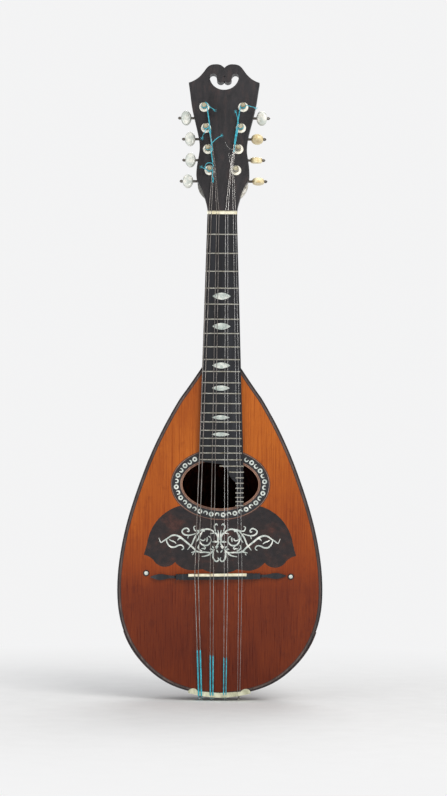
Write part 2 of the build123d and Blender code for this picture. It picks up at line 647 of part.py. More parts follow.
def saddle_block():
    """Bone strip let into the bridge, with its crown bevelled."""
    y_middle = -(SADDLE_TOP + SADDLE_FOOT) / 2
    bar = Box(SADDLE_LONG, SADDLE_TOP - SADDLE_FOOT, SADDLE_THICK)
    bar = Pos(SADDLE_X, y_middle, SADDLE_Z - 0.3) * bar
    crown = bar.edges().filter_by(Axis.X).sort_by(Axis.Y)[:2]
    bar = chamfer(crown, 0.7)
    pivot = Pos(BRIDGE_X, 0, BRIDGE_Z) * Rot(0, -BRIDGE_TILT, 0) * Pos(-BRIDGE_X, 0, -BRIDGE_Z)
    return pivot * bar


def stud(x, z):
    base = front_y(z)
    profile = Polyline((0, -3), (1.2, -3), (1.2, 0), (STUD_R, 0), (STUD_R, 0.7), (STUD_R - 0.9, 1.4), (0, 1.5),
                       close=True)
    pin = revolve(Plane.XZ * make_face(profile), Axis.Z)
    frame = Plane(origin=(x, base - 0.02, z), x_dir=(1, 0, 0), z_dir=(0, -1, 0))
    return frame * pin


def tail_guard():
    """Strip bent over the tail edge: a lip on the soundboard with a hump at each end,
    and a flange under the tail."""
    lip = [
        Line((0, -6), (GUARD_HALF, -6)),
        Line((GUARD_HALF, -6), (GUARD_HALF, 4.2)),
        ThreePointArc((GUARD_HALF, 4.2), (25, 6.6), (20, 3.9)),
        Line((20, 3.9), (0, 2.5)),
    ]
    half = [e for part in lip for e in part.edges()]
    face = make_face(half + [e.mirror(Plane.YZ) for e in half])
    front = through(face, -20, 60) & slab(GUARD_WALL, 60)
    outer = through(body_sketch(GUARD_WALL + CAP_WALL), -20, 60)
    wrap = front & outer
    wrap -= through(body_sketch(CAP_WALL + 0.05), -20, 60) & slab(0, 90)
    wrap -= Pos(0, 60 + 27, 0) * Box(100, 120, 60)
    return wrap


def hitch_pin(x):
    """Round pin with a flanged head that holds the loop ends of one pair."""
    shaft = cylinder_along(Vector(x, PIN_Y, PIN_ROOT), Vector(x, PIN_Y, PIN_END + PIN_HEAD_TALL / 2), PIN_R)
    head = Pos(x, PIN_Y, PIN_END + PIN_HEAD_TALL / 2) * Cylinder(PIN_HEAD_R, PIN_HEAD_TALL)
    return shaft + head


# ---- strings -----------------------------------------------------------------------
def string_ends():
    """Each string: course, side in its pair, and the tuner that it runs to."""
    ends = {
        ("g", -1): (-1, 3), ("g", 1): (-1, 2), ("d", -1): (-1, 1), ("d", 1): (-1, 0),
        ("a", -1): (1, 0), ("a", 1): (1, 1), ("e", -1): (1, 2), ("e", 1): (1, 3),
    }
    return ends


def string_points(course, pair_side, side, row):
    at_nut, at_saddle, at_tail, diameter = COURSES[course]
    radius = diameter / 2
    x_nut = at_nut + pair_side * PAIR_AT_NUT / 2
    x_saddle = at_saddle + pair_side * PAIR_AT_SADDLE / 2
    x_tail = at_tail + pair_side * (PIN_R + radius + 0.05)
    edge_z = -TAIL_CLEAR - radius
    edge_y = front_y(edge_z) - GUARD_WALL - radius
    points = [Vector(x_tail, PIN_Y, edge_z), Vector(x_tail, edge_y + 0.6, edge_z)]
    points.append(Vector(x_saddle, SADDLE_STRING_Y, SADDLE_Z))
    nut = Vector(x_nut, NUT_STRING_Y, NUT_Z + NUT_THICK - 1.2)
    points.append(nut)
    start = HEAD.to_local_coords(nut)
    reach = POST_WAIST_R + radius + STRING_GAP
    goal = Vector(side * (POST_U[row] - reach), POST_V[row], WIND_LOW + WIND_STEP * (3 - row))
    bends = []
    here = start
    for other in range(3, row, -1):
        share = (POST_V[other] - here.Y) / (goal.Y - here.Y)
        line = here + (goal - here) * share
        keep = POST_U[other] - (POST_R + WOUND + radius + STRING_GAP) - PASS_STEP * (other - row - 1)
        if abs(line.X) > keep:
            here = Vector(side * keep, POST_V[other], line.Z)
            bends.append(here)
    points += [HEAD.from_local_coords(p) for p in bends + [goal]]
    return points


def string_path(course, pair_side, side, row):
    points = string_points(course, pair_side, side, row)
    radii = [2.6] + [6.0] * (len(points) - 3)
    return FilletPolyline(*points, radius=radii)


def string_solid(path, radius):
    section = Plane(path @ 0, z_dir=path % 0) * Circle(radius)
    return sweep(section, path=path)


def main():
    os.makedirs("parts", exist_ok=True)

    # strings first: the slots in nut, saddle and tail guard are cut from them
    strings = {course: [] for course in COURSES}
    seats = []
    for (course, pair_side), (side, row) in string_ends().items():
        path = string_path(course, pair_side, side, row)
        radius = COURSES[course][3] / 2
        strings[course].append(string_solid(path, radius))
        seats.append(string_solid(path, radius + SEAT_GAP))
    for course, pair in strings.items():
        save(f"strings_{course}", *pair)

    # body
    board, binding = soundboard(binding_strip())
    save("edge_binding", *pieces(binding))
    save("rosette", *pieces(through(rosette_ring(), 0, INLAY_DEPTH)))
    save("pickguard", *pieces(through(pickguard_sketch(), 0, GUARD_DEPTH)))
    over = slab(30, TOP_THICK)
    room = bowl_solid(-RIB_THICK - GLUE_GAP, STATION_Z)
    pins = [hitch_pin(COURSES[course][2]) for course in COURSES]
    tail = room & (Pos(0, 60, TAIL_BLOCK_TO / 2) * Box(300, 200, TAIL_BLOCK_TO))
    heel = room & (Pos(0, 60, (NECK_BLOCK_FROM + 400) / 2) * Box(300, 200, 400 - NECK_BLOCK_FROM))
    cap = end_cap()
    ribs = [rib(index) - over for index in range(RIB_COUNT)]
    for pin in pins:
        tail -= pin
        cap -= pin
        ribs = [stave - pin for stave in ribs]
    save("bowl_ribs", *[s for stave in ribs for s in pieces(stave)])
    save("neck_block", *pieces(heel - over))
    save("tail_block", *pieces(tail - over))
    save("end_cap", *pieces(cap))
    save("hitch_pins", *[s for pin in pins for s in pieces(pin)])
    save("soundboard_braces", *braces(room))
    studs = [stud(x, z) for x, z in STUDS]
    for pin in studs:
        board -= pin
    save("soundboard", *pieces(board))
    save("bridge_studs", *[s for pin in studs for s in pieces(pin)])

    # neck, head, fingerboard
    save("neck", *pieces(neck()))
    save("headstock_veneer", *pieces(veneer()))
    save("fretboard", *pieces(fingerboard()))
    frets = [fret(z, low, high) for z, low, high in fret_spans()]
    save("frets", *[s for bar in frets for s in pieces(bar)])
    floor = MARKER_DEEP - BOARD_THICK
    inlays = [through(marker_sketch(after, tall), -BOARD_THICK, floor) for after, tall in MARKERS.items()]
    save("position_markers", *[s for inlay in inlays for s in pieces(inlay)])
    nut = nut_piece()
    rest = saddle_block()
    lower = bridge() - rest
    guard = tail_guard()
    for seat in seats:
        nut -= seat
        rest -= seat
        lower -= seat
        guard -= seat
    save("nut", *pieces(nut))
    save("saddle", *pieces(rest))
    save("bridge", *pieces(lower))
    save("tail_guard", *pieces(guard))

    # tuners
    places = [(side * u, v) for side in (-1, 1) for u, v in zip(POST_U, POST_V)]
    save("post_ferrules", *[s for u, v in places for s in pieces(ferrule(u, v))])
    save("tuner_plate_bass", *pieces(tuner_plate(-1)))
    save("tuner_plate_treble", *pieces(tuner_plate(1)))
    save("tuner_plate_screws", *[s for u, v in screw_places() for s in pieces(plate_screw(u, v))])
    thread, wheel, screw = worm_blank(), gear_blank(), gear_screw()
    for name, side, row in tuner_list():
        u, v = side * POST_U[row], POST_V[row]
        save(f"string_post_{name}", *pieces(post_piece(u, v)))
        gear, clamp = gear_pieces(u, v, wheel, screw)
        save(f"tuner_gear_{name}", *pieces(gear), *pieces(clamp))
        save(f"worm_shaft_{name}", *pieces(worm_piece(side, row, thread)))
        save(f"tuner_button_{name}", *pieces(button_piece(side, row)))


main()
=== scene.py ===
import json
import math
import random

import bmesh
import bpy
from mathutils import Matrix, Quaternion, Vector
from mathutils.bvhtree import BVHTree


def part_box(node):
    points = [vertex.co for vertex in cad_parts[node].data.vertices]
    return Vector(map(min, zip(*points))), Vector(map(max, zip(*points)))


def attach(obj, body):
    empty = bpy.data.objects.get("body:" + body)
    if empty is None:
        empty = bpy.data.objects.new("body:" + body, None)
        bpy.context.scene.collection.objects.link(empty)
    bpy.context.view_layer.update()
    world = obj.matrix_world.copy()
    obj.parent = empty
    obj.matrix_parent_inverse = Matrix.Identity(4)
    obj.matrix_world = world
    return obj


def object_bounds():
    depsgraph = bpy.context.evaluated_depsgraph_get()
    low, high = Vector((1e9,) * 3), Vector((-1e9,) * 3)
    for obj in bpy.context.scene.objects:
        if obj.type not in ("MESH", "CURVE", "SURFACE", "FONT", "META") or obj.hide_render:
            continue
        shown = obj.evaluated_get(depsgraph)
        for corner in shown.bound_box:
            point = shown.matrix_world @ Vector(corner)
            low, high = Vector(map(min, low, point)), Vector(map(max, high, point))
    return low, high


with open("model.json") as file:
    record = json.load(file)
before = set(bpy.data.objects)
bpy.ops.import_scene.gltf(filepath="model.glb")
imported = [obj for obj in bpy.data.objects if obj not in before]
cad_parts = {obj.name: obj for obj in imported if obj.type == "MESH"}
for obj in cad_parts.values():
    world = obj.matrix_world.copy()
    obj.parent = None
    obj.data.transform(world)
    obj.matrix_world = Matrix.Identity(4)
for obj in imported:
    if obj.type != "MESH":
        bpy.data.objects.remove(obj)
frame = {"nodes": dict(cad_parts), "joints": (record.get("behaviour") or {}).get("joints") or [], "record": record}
CAD_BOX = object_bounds()
NODES = frame["nodes"]
JOINTS = {j["child"]: j for j in frame["joints"]}
SLOT_OF = {s["node"]: s["material_slot"] for s in frame["record"]["subparts"]}
MM = 0.001
random.seed(7)


# ---- materials ---------------------------------------------------------------------
def srgb(r, g, b):
    """A colour given as 0-255 screen values, as Blender's linear RGBA."""
    lin = [(c / 255 / 12.92) if c <= 10 else ((c / 255 + 0.055) / 1.055) ** 2.4 for c in (r, g, b)]
    return (*lin, 1.0)


class Finish:
    """A Principled material put together from small texture steps in object space."""

    def __init__(self, name, rough=0.4, metal=0.0, coat=0.0, coat_rough=0.08, spec=0.5):
        self.material = bpy.data.materials.new(name)
        self.material.use_nodes = True
        self.tree = self.material.node_tree
        self.shader = self.tree.nodes["Principled BSDF"]
        self.set(Roughness=rough, Metallic=metal)
        self.shader.inputs["Coat Weight"].default_value = coat
        self.shader.inputs["Coat Roughness"].default_value = coat_rough
        self.shader.inputs["Specular IOR Level"].default_value = spec
        self.place = self.node("ShaderNodeTexCoord").outputs["Object"]

    def set(self, **values):
        for key, value in values.items():
            self.shader.inputs[key.replace("_", " ")].default_value = value

    def node(self, kind, **settings):
        made = self.tree.nodes.new(kind)
        for key, value in settings.items():
            setattr(made, key, value)
        return made

    def link(self, out, socket):
        self.tree.links.new(out, socket)

    def stretch(self, scale=(1, 1, 1), turn=(0, 0, 0), vector=None):
        made = self.node("ShaderNodeMapping")
        made.inputs["Scale"].default_value = scale
        made.inputs["Rotation"].default_value = turn
        self.link(vector or self.place, made.inputs["Vector"])
        return made.outputs["Vector"]

    def noise(self, scale, detail=3.0, vector=None, roughness=0.55, distortion=0.0):
        made = self.node("ShaderNodeTexNoise")
        made.inputs["Scale"].default_value = scale
        made.inputs["Detail"].default_value = detail
        made.inputs["Roughness"].default_value = roughness
        made.inputs["Distortion"].default_value = distortion
        self.link(vector or self.place, made.inputs["Vector"])
        return made.outputs["Fac"]

    def cells(self, scale, vector=None, feature="F1", out="Distance"):
        made = self.node("ShaderNodeTexVoronoi", feature=feature)
        made.inputs["Scale"].default_value = scale
        self.link(vector or self.place, made.inputs["Vector"])
        return made.outputs[out]

    def bands(self, scale, axis="Z", vector=None, distortion=0.0):
        made = self.node("ShaderNodeTexWave", bands_direction=axis)
        made.inputs["Scale"].default_value = scale
        made.inputs["Distortion"].default_value = distortion
        self.link(vector or self.place, made.inputs["Vector"])
        return made.outputs["Fac"]

    def axis(self, name):
        made = self.node("ShaderNodeSeparateXYZ")
        self.link(self.place, made.inputs[0])
        return made.outputs[name]

    def span(self, value, low, high):
        """value mapped so that low is 0 and high is 1."""
        made = self.node("ShaderNodeMapRange")
        made.inputs["From Min"].default_value = low
        made.inputs["From Max"].default_value = high
        self.link(value, made.inputs["Value"])
        return made.outputs["Result"]

    def ramp(self, value, *stops):
        made = self.node("ShaderNodeValToRGB")
        ramp = made.color_ramp
        while len(ramp.elements) < len(stops):
            ramp.elements.new(0.5)
        for element, (where, colour) in zip(ramp.elements, stops):
            element.position = where
            element.color = colour if hasattr(colour, "__len__") else (colour, colour, colour, 1)
        self.link(value, made.inputs["Fac"])
        return made.outputs["Color"]

    def mix(self, a, b, factor=1.0, how="MULTIPLY"):
        made = self.node("ShaderNodeMix", data_type="RGBA", blend_type=how)
        for socket, value in ((made.inputs[0], factor), (made.inputs[6], a), (made.inputs[7], b)):
            if hasattr(value, "is_output"):
                self.link(value, socket)
            else:
                socket.default_value = value
        return made.outputs[2]

    def colour(self, out):
        self.link(out, self.shader.inputs["Base Color"])
        return self

    def rough(self, value, low, high):
        self.link(self.ramp(value, (0.3, low), (0.7, high)), self.shader.inputs["Roughness"])
        return self

    def bump(self, height, distance, strength=1.0):
        made = self.node("ShaderNodeBump")
        made.inputs["Strength"].default_value = strength
        made.inputs["Distance"].default_value = distance
        self.link(height, made.inputs["Height"])
        self.link(made.outputs["Normal"], self.shader.inputs["Normal"])
        return self


def spruce():
    f = Finish("spruce_varnished", coat=0.16, coat_rough=0.12, spec=0.2)
    grain = f.noise(1300, 3, f.stretch((1, 0.2, 0.012)))
    fine = f.noise(3200, 2, f.stretch((1, 0.3, 0.04)))
    # painted shade: the top's colour darkens towards the bottom, strongly below the fold where the top leans back from
    # the light
    painted_cant_shade = f.ramp(f.span(f.axis("Z"), 0.0, 0.31),
                  (0.04, srgb(104, 40, 8)), (0.32, srgb(118, 48, 8)), (0.38, srgb(140, 62, 10)),
                  (0.52, srgb(168, 85, 18)), (0.74, srgb(178, 97, 27)), (1.0, srgb(180, 99, 32)))
    lines = f.ramp(grain, (0.34, srgb(212, 190, 172)), (0.5, srgb(244, 238, 230)), (0.66, srgb(255, 255, 250)))
    pores = f.ramp(fine, (0.3, srgb(232, 222, 214)), (0.6, srgb(255, 255, 255)))
    blotch = f.ramp(f.noise(22, 3, f.stretch((1, 1, 0.45))), (0.32, srgb(224, 206, 192)), (0.6, srgb(255, 252, 246)))
    worn = f.ramp(f.noise(95, 5), (0.28, srgb(190, 160, 150)), (0.42, srgb(255, 255, 255)))
    f.colour(f.mix(f.mix(f.mix(f.mix(painted_cant_shade, lines), pores), blotch), worn, 0.35))
    return f.rough(grain, 0.26, 0.4).bump(grain, 0.00008, 0.3)


def streaked(name, dark, mid, light, turn=(0, 0, 0), scale=260, gloss=0.4, low=0.3, high=0.5, lift=0.00008):
    """Dense dark wood with its grain along Z."""
    f = Finish(name, coat=gloss, coat_rough=0.15, spec=0.3)
    along = f.stretch((1, 1, 0.05), turn)
    streak = f.noise(scale, 5, along, 0.6, 0.4)
    broad = f.noise(scale / 7, 3, along)
    base = f.ramp(streak, (0.3, dark), (0.52, mid), (0.72, light))
    shade = f.ramp(broad, (0.3, srgb(170, 165, 168)), (0.65, srgb(255, 255, 255)))
    f.colour(f.mix(base, shade))
    return f.rough(broad, low, high).bump(streak, lift, 0.5)


def metal(name, tint, stain, low=0.2, high=0.42, lift=0.00003, metallic=1.0):
    f = Finish(name, metal=metallic)
    cloud = f.noise(170, 4)
    spots = f.noise(900, 2)
    f.colour(f.mix(f.ramp(cloud, (0.3, stain), (0.58, tint)), f.ramp(spots, (0.25, srgb(190, 186, 178)), (0.45, srgb(255, 255, 255)))))
    return f.rough(cloud, high, low).bump(spots, lift, 0.5)


def pearl(name, *colours):
    f = Finish(name, coat=0.6, coat_rough=0.06, rough=0.28)
    wavy = f.noise(330, 3, f.stretch((1, 1, 1)), 0.6, 1.6)
    stops = [(0.28 + 0.44 * i / (len(colours) - 1), c) for i, c in enumerate(colours)]
    patch = f.ramp(f.cells(190, None, "F1", "Distance"), (0.1, srgb(255, 255, 255)), (0.7, srgb(196, 204, 204)))
    f.colour(f.mix(f.ramp(wavy, *stops), patch))
    return f.rough(wavy, 0.18, 0.34).bump(wavy, 0.00004, 0.4)


def bone(name, light, dark, ridges=0):
    f = Finish(name, coat=0.25, coat_rough=0.2)
    stain = f.noise(240, 4)
    pores = f.cells(1500, f.stretch((1, 1, 0.25)))
    f.colour(f.mix(f.ramp(stain, (0.3, dark), (0.62, light)), f.ramp(pores, (0.04, srgb(196, 180, 150)), (0.2, srgb(255, 255, 255)))))
    if ridges:
        return f.rough(stain, 0.32, 0.5).bump(f.bands(ridges, "Z", None, 1.2), 0.0003, 0.7)
    return f.rough(stain, 0.32, 0.5).bump(pores, 0.00004, 0.4)


def tortoiseshell():
    f = Finish("tortoiseshell", coat=0.35, coat_rough=0.08, spec=0.3)
    cloud = f.noise(58, 4, None, 0.6, 0.8)
    deep = f.noise(170, 3)
    base = f.ramp(cloud, (0.36, srgb(26, 20, 23)), (0.52, srgb(38, 25, 24)), (0.68, srgb(62, 32, 25)))
    f.colour(f.mix(base, f.ramp(deep, (0.3, srgb(150, 150, 160)), (0.6, srgb(255, 255, 255)))))
    return f.rough(deep, 0.2, 0.3).bump(cloud, 0.00006, 0.3)


def mastic(name="mastic_black", base=(24, 24, 27), lit=(46, 45, 48)):
    f = Finish(name, coat=0.15, coat_rough=0.12, spec=0.3)
    grit = f.noise(800, 3)
    f.colour(f.ramp(grit, (0.3, srgb(*base)), (0.7, srgb(*lit))))
    return f.rough(grit, 0.3, 0.45).bump(grit, 0.00004, 0.4)


def celluloid():
    f = Finish("celluloid", coat=0.5, coat_rough=0.12)
    swirl = f.noise(90, 4, f.stretch((1, 1, 0.5)), 0.55, 1.3)
    f.colour(f.ramp(swirl, (0.3, srgb(150, 150, 124)), (0.5, srgb(196, 196, 168)), (0.7, srgb(222, 222, 200))))
    return f.rough(swirl, 0.22, 0.34).bump(f.noise(700, 2), 0.00003, 0.4)


def wound(name, tint, dark):
    f = Finish(name, metal=0.9)
    turns = f.bands(900, "Z")
    cloud = f.noise(60, 3)
    f.colour(f.mix(f.ramp(turns, (0.1, dark), (0.55, tint)), f.ramp(cloud, (0.3, srgb(196, 190, 184)), (0.6, srgb(255, 255, 255)))))
    return f.rough(cloud, 0.3, 0.45).bump(turns, 0.0001, 0.8)


def silk():
    f = Finish("silk_turquoise", rough=0.75)
    thread = f.noise(1900, 2)
    worn = f.noise(330, 3)
    base = f.ramp(thread, (0.3, srgb(10, 112, 132)), (0.5, srgb(24, 172, 194)), (0.72, srgb(96, 212, 224)))
    f.colour(f.mix(base, f.ramp(worn, (0.3, srgb(186, 190, 186)), (0.6, srgb(255, 255, 255)))))
    f.shader.inputs["Sheen Weight"].default_value = 0.4
    return f.rough(worn, 0.6, 0.85).bump(thread, 0.00014, 0.8)


MATS = {
    "spruce": spruce(),
    "black_wood": streaked("black_wood", srgb(20, 17, 19), srgb(33, 29, 31), srgb(52, 44, 43), gloss=0.2),
    "black_veneer": streaked("black_veneer", srgb(24, 22, 25), srgb(38, 35, 38), srgb(58, 46, 45), gloss=0.3),
    "ebony": streaked("ebony", srgb(15, 16, 20), srgb(26, 28, 34), srgb(40, 42, 48), gloss=0.2),
    "rosewood": streaked("rosewood", srgb(38, 17, 13), srgb(84, 38, 26), srgb(128, 66, 42), scale=190, gloss=0.7),
    "inner_wood": streaked("inner_wood", srgb(110, 82, 58), srgb(150, 118, 84), srgb(178, 146, 108), gloss=0.0, low=0.6, high=0.8),
    "bone": bone("bone", srgb(232, 228, 206), srgb(196, 184, 146)),
    "white_bone": bone("white_bone", srgb(244, 242, 232), srgb(222, 216, 196)),
    "button_bone": bone("button_bone", srgb(240, 228, 186), srgb(196, 168, 112), 150),
    "pearl": pearl("pearl", srgb(150, 168, 168), srgb(214, 220, 212), srgb(236, 234, 226), srgb(190, 206, 202)),
    "button_pearl": pearl("button_pearl", srgb(206, 202, 188), srgb(238, 234, 224), srgb(248, 246, 238), srgb(222, 220, 208)),
    "nickel_silver": metal("nickel_silver", srgb(208, 206, 196), srgb(150, 144, 128)),
    "nickel_plate": metal("nickel_plate", srgb(196, 194, 188), srgb(120, 112, 98), 0.28, 0.5),
    "dark_steel": metal("dark_steel", srgb(120, 116, 110), srgb(70, 62, 54), 0.34, 0.55),
    "post_steel": metal("post_steel", srgb(190, 184, 160), srgb(128, 112, 80), 0.3, 0.5),
    "brass": metal("brass", srgb(204, 168, 92), srgb(128, 92, 40), 0.28, 0.5),
    "celluloid": celluloid(),
    "black_trim": mastic("black_trim", (14, 14, 16), (34, 33, 36)),
    "mastic": mastic(),
    "tortoiseshell": tortoiseshell(),
    "wound_string": wound("wound_string", srgb(176, 170, 166), srgb(98, 92, 90)),
    "plain_string": metal("plain_string", srgb(206, 204, 202), srgb(150, 146, 142), 0.18, 0.3),
    "silk": silk(),
}
EXTRA = {
    "tan_line": streaked("tan_line", srgb(120, 84, 66), srgb(150, 112, 92), srgb(176, 138, 116), scale=500),
    "edge_brown": streaked("edge_brown", srgb(62, 50, 46), srgb(88, 72, 66), srgb(112, 94, 86), scale=500),
    "dark_line": streaked("dark_line", srgb(40, 20, 18), srgb(58, 30, 25), srgb(74, 40, 32), scale=500),
}
for node, shown in NODES.items():
    look = MATS[SLOT_OF[node]].material
    if not shown.data.materials:
        shown.data.materials.append(look)
    for held in shown.material_slots:
        held.material = look


# ---- mesh helpers --------------------------------------------------------------------
class Shape:
    """Collects vertices and faces, and becomes one piece."""

    def __init__(self):
        self.points, self.faces = [], []

    def add(self, points, faces):
        start = len(self.points)
        self.points += [tuple(p) for p in points]
        self.faces += [[start + i for i in face] for face in faces]
        return self

    def strip(self, rings, closed=False, ends=True):
        """Joins rings of the same number of points; the two ends are closed with one face each."""
        n = len(rings[0])
        faces = []
        for i in range(len(rings) - (0 if closed else 1)):
            a, b = i * n, ((i + 1) % len(rings)) * n
            faces += [[a + k, a + (k + 1) % n, b + (k + 1) % n, b + k] for k in range(n)]
        if ends and not closed:
            faces += [list(range(n))[::-1], [(len(rings) - 1) * n + k for k in range(n)]]
        return self.add([p for ring in rings for p in ring], faces)

    def piece(self, name, body, slot, look=None, smooth=True):
        mesh = bpy.data.meshes.new(name)
        mesh.from_pydata(self.points, [], self.faces)
        bm = bmesh.new()
        bm.from_mesh(mesh)
        bmesh.ops.recalc_face_normals(bm, faces=bm.faces)
        bm.to_mesh(mesh)
        bm.free()
        if smooth:
            mesh.shade_smooth()
        made = bpy.data.objects.new(name, mesh)
        bpy.context.scene.collection.objects.link(made)
        mesh.materials.append((look or MATS[slot]).material)
        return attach(made, body)


def curve(points, steps=6, closed=False):
    """A smooth line through the points."""
    pts = [Vector(p) for p in points]
    n = len(pts)
    out = []
    for i in range(n if closed else n - 1):
        if closed:
            a, b, c, d = (pts[(i + k) % n] for k in (-1, 0, 1, 2))
        else:
            a, b, c, d = pts[max(i - 1, 0)], pts[i], pts[i + 1], pts[min(i + 2, n - 1)]
        for k in range(steps):
            t = k / steps
            out.append(0.5 * (2 * b + (c - a) * t + (2 * a - 5 * b + 4 * c - d) * t ** 2 + (3 * b - a - 3 * c + d) * t ** 3))
    return out if closed else out + [pts[-1]]


def tube(shape, line, radius, sides=8, closed=False):
    """A round rod along a line of points; radius is a number, or a function of 0 to 1 along it."""
    line = [Vector(p) for p in line]
    n = len(line)
    size = radius if callable(radius) else (lambda t: radius)
    tangents = []
    for i in range(n):
        a = line[(i - 1) % n] if closed or i else line[0]
        b = line[(i + 1) % n] if closed or i < n - 1 else line[-1]
        tangents.append((b - a).normalized())
    across = tangents[0].orthogonal().normalized()
    rings = []
    for i, (p, t) in enumerate(zip(line, tangents)):
        if i:
            across = tangents[i - 1].rotation_difference(t) @ across
        other = t.cross(across)
        r = size(i / max(n - 1, 1))
        rings.append([p + r * (across * math.cos(a) + other * math.sin(a))
                      for a in (2 * math.pi * k / sides for k in range(sides))])
    return shape.strip(rings, closed)


def level(values, t):
    """Reads an evenly spaced list of values at 0 to 1."""
    at = t * (len(values) - 1)
    i = min(int(at), len(values) - 2)
    return values[i] + (values[i + 1] - values[i]) * (at - i)


def inlay(shape, line, widths, lift, closed=False, front=lambda z: 0.0, under=0.05 * MM):
    """A flat strip let into the top: line is (x, z) points, lift how far it stands proud."""
    n = len(line)
    rings = []
    for i, p in enumerate(line):
        a = line[(i - 1) % n] if closed or i else line[0]
        b = line[(i + 1) % n] if closed or i < n - 1 else line[-1]
        t = Vector(b) - Vector(a)
        side = Vector((-t[1], t[0])).normalized() * level(widths, i / max(n - 1, 1)) / 2
        corners = [(p[0] + side[0], p[1] + side[1]), (p[0] - side[0], p[1] - side[1])]
        rings.append([(x, front(z) - lift, z) for x, z in corners]
                     + [(x, front(z) + under, z) for x, z in reversed(corners)])
    return shape.strip(rings, closed)


def outline_of(node, facing):
    """The longest edge loop round those faces of a CAD node that facing(normal) picks, as points."""
    bm = bmesh.new()
    bm.from_mesh(NODES[node].data)
    bmesh.ops.remove_doubles(bm, verts=bm.verts, dist=1e-6)
    chosen = {f.index for f in bm.faces if facing(f.normal)}
    near = {}
    for e in bm.edges:
        if sum(f.index in chosen for f in e.link_faces) == 1:
            a, b = e.verts
            near.setdefault(a.index, []).append(b.index)
            near.setdefault(b.index, []).append(a.index)
    bm.verts.ensure_lookup_table()
    at = {i: bm.verts[i].co.copy() for i in near}
    bm.free()
    best, left = [], set(near)
    while left:
        walk, here, before = [], next(iter(left)), None
        while here in left:
            left.discard(here)
            walk.append(at[here])
            ahead = [i for i in near[here] if i in left]
            if not ahead:
                break
            here = ahead[0]
        if len(walk) > 2 and run_length(walk) > run_length(best):
            best = walk
    return best


def run_length(points):
    return sum((b - a).length for a, b in zip(points, points[1:]))


# ---- places on the instrument ---------------------------------------------------------
FOLD = 112 * MM             # below this height the top leans back
LEAN = math.tan(math.radians(7))


def top_y(z):
    """Face of the soundboard at a height."""
    return max(0.0, (FOLD - z) * LEAN)


def shifted(loop, inward):
    """A closed (x, z) loop moved inwards."""
    n = len(loop)
    area = sum(loop[i][0] * loop[(i + 1) % n][1] - loop[(i + 1) % n][0] * loop[i][1] for i in range(n))
    sign = 1 if area > 0 else -1
    out = []
    for i, p in enumerate(loop):
        t = Vector(loop[(i + 1) % n]) - Vector(loop[i - 1])
        side = Vector((-t[1], t[0])).normalized() * inward * sign
        out.append((p[0] + side[0], p[1] + side[1]))
    return out


def ellipse(centre, rx, rz, count=128, start=0.0, sweep=2 * math.pi):
    """Points of an ellipse, or of a part of it, seen from the front."""
    return [(centre[0] + rx * math.cos(start + sweep * k / count), centre[1] + rz * math.sin(start + sweep * k / count))
            for k in range(count + (sweep < 2 * math.pi))]


def slice_centres(node, axis, value, gap=0.5 * MM):
    """Middles of the round wires of a node where a plane cuts them, sorted by x."""
    mesh = NODES[node].data
    hits = []
    for e in mesh.edges:
        a, b = (mesh.vertices[i].co for i in e.vertices)
        if (a[axis] - value) * (b[axis] - value) < 0:
            hits.append(a.lerp(b, (value - a[axis]) / (b[axis] - a[axis])))
    hits.sort(key=lambda p: p.x)
    groups = []
    for p in hits:
        if groups and p.x - groups[-1][-1].x < gap:
            groups[-1].append(p)
        else:
            groups.append([p])
    return [sum(g, Vector()) / len(g) for g in groups]


def wire_line(node, x, axis, values):
    """Follows one wire of a node from plane to plane, starting nearest to x."""
    line = []
    for value in values:
        found = slice_centres(node, axis, value)
        if found:
            line.append(min(found, key=lambda p: abs(p.x - x)))
            x = line[-1].x
    return line


class Post:
    """Frame of a string post: across, up along the head, and out along the post."""

    def __init__(self, name):
        joint = JOINTS[f"post_{name}"]
        self.body, self.foot = f"post_{name}", Vector(joint["pos_m"])
        self.out = Vector(joint["axis"]).normalized()
        self.across = Vector((1, 0, 0))
        self.up = self.out.cross(self.across)
        if self.up.z < 0:
            self.up = -self.up

    def at(self, u, v, n):
        return self.foot + MM * (u * self.across + v * self.up + n * self.out)


# ---- soundboard: edge lines, rosette, ornament ------------------------------------------
def edge_lines():
    loop = [(p.x, p.z) for p in outline_of("soundboard", lambda n: n.y < -0.9)]
    for name, inward, wide, look in (("edge_line_brown", 0.05, 1.5, "edge_brown"),
                                     ("edge_line_dark", 1.1, 0.6, "dark_line")):
        shape = Shape()
        inlay(shape, shifted(loop, inward * MM), [wide * MM] * 2, 0.06 * MM, True, top_y)
        shape.piece(name, "root", "rosewood", EXTRA[look], smooth=False)


ROSETTE_LINES = [           # how far out from the soundhole's edge it starts and ends, look
    ("inner_wood", 0.0, 0.8, "tan_line"), ("inner_dark", 0.8, 1.2, "dark_line"), ("inner_tan", 1.2, 1.9, "tan_line"),
    ("outer_tan", 9.8, 10.3, "tan_line"), ("outer_dark", 10.3, 10.9, "dark_line"),
]
MASTIC_OUT = 9.8            # outer edge of the mastic ring
PEARL_COUNT, PEARL_R, PEARL_HOLE = 40, 2.25, 0.95


